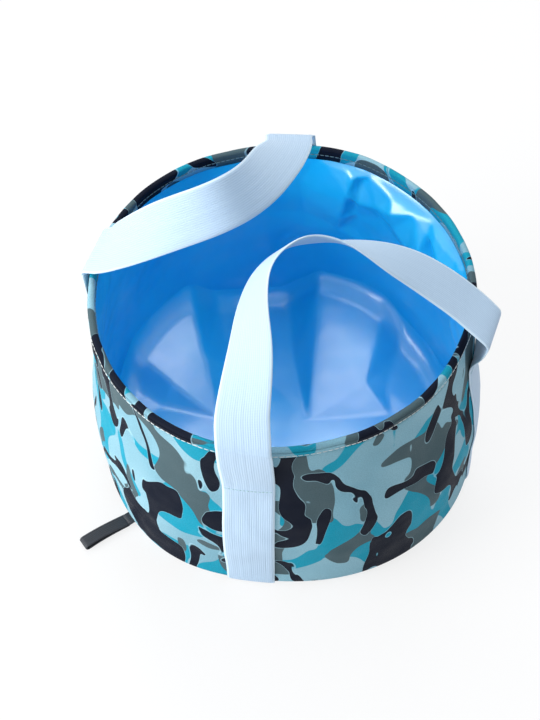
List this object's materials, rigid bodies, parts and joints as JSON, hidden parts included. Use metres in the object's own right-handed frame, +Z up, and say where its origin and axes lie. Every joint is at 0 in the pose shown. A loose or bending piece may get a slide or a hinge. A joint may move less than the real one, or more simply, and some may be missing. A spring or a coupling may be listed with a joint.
{
  "type": "collapsible washbasin",
  "caption": "Round soft-walled camp washbasin in camouflage cloth with a blue liner and webbing handles; it folds flat.",
  "frame": {"origin": "centre of the base's underside, on the ground", "axes": "+Z up along the basin's axis, +X to the right and -Y towards the front handle's first leg as seen from the front"},
  "size_m": [0.3254, 0.3387, 0.2879],
  "materials": {
    "camo_cloth": "matte printed polyester cloth, four-colour camouflage",
    "hem_cloth": "matte printed polyester cloth, folded over the rim",
    "liner_sheet": "glossy blue welded sheet",
    "foam": "soft closed-cell foam",
    "board": "stiff plain board",
    "binding_tape": "woven binding tape",
    "rim_cord": "round plastic cord",
    "thread": "cream sewing thread",
    "white_webbing": "lengthwise ribbed webbing, plain selvedges",
    "tack_thread": "pale sewing thread",
    "grey_webbing": "dark grey ribbed webbing"
  },
  "bodies": {
    "base": {"base_panel": "camo_cloth", "base_seam_tape": "binding_tape", "base_board": "board", "shell_wall": "camo_cloth", "wall_foam": "foam", "shell_seam_strip": "camo_cloth", "liner_wall": "liner_sheet", "liner_floor": "liner_sheet", "liner_corner_weld": "liner_sheet", "liner_seam_tape": "liner_sheet", "pull_loop_root": "grey_webbing", "strap_leg_front_first": "white_webbing", "strap_leg_front_second": "white_webbing", "strap_leg_back_first": "white_webbing", "strap_leg_back_second": "white_webbing", "strap_tack_front_first": "tack_thread", "strap_tack_front_second": "tack_thread", "strap_tack_back_first": "tack_thread", "strap_tack_back_second": "tack_thread"},
    "rim": {"rim_hem": "hem_cloth", "rim_cord": "rim_cord", "rim_topstitch": "thread"},
    "front_handle": {"front_handle": "white_webbing"},
    "back_handle": {"back_handle": "white_webbing"},
    "pull_loop": {"pull_loop": "grey_webbing"}
  },
  "joints": [
    {"name": "collapse", "type": "slide", "parent": "base", "child": "rim", "axis": [0, 0, 1], "range_m": [-0.155, 0], "deforming": ["shell_wall", "wall_foam", "shell_seam_strip", "liner_wall", "liner_seam_tape", "strap_leg_front_first", "strap_leg_front_second", "strap_leg_back_first", "strap_leg_back_second", "strap_tack_front_first", "strap_tack_front_second", "strap_tack_back_first", "strap_tack_back_second"]},
    {"name": "front_handle_swing", "type": "hinge", "parent": "rim", "child": "front_handle", "pos_m": [0.06223, -0.1036, 0.209], "axis": [0.8261, 0.5635, 0], "range_deg": [-40, 160]},
    {"name": "back_handle_swing", "type": "hinge", "parent": "rim", "child": "back_handle", "pos_m": [-0.07028, 0.09642, 0.209], "axis": [-0.7751, -0.6318, 0], "range_deg": [-40, 158]},
    {"name": "pull_loop_lift", "type": "hinge", "parent": "base", "child": "pull_loop", "pos_m": [-0.12806, -0.09134, 0.0045], "axis": [-0.5807, 0.8141, 0], "range_deg": [0, 80]}
  ]
}
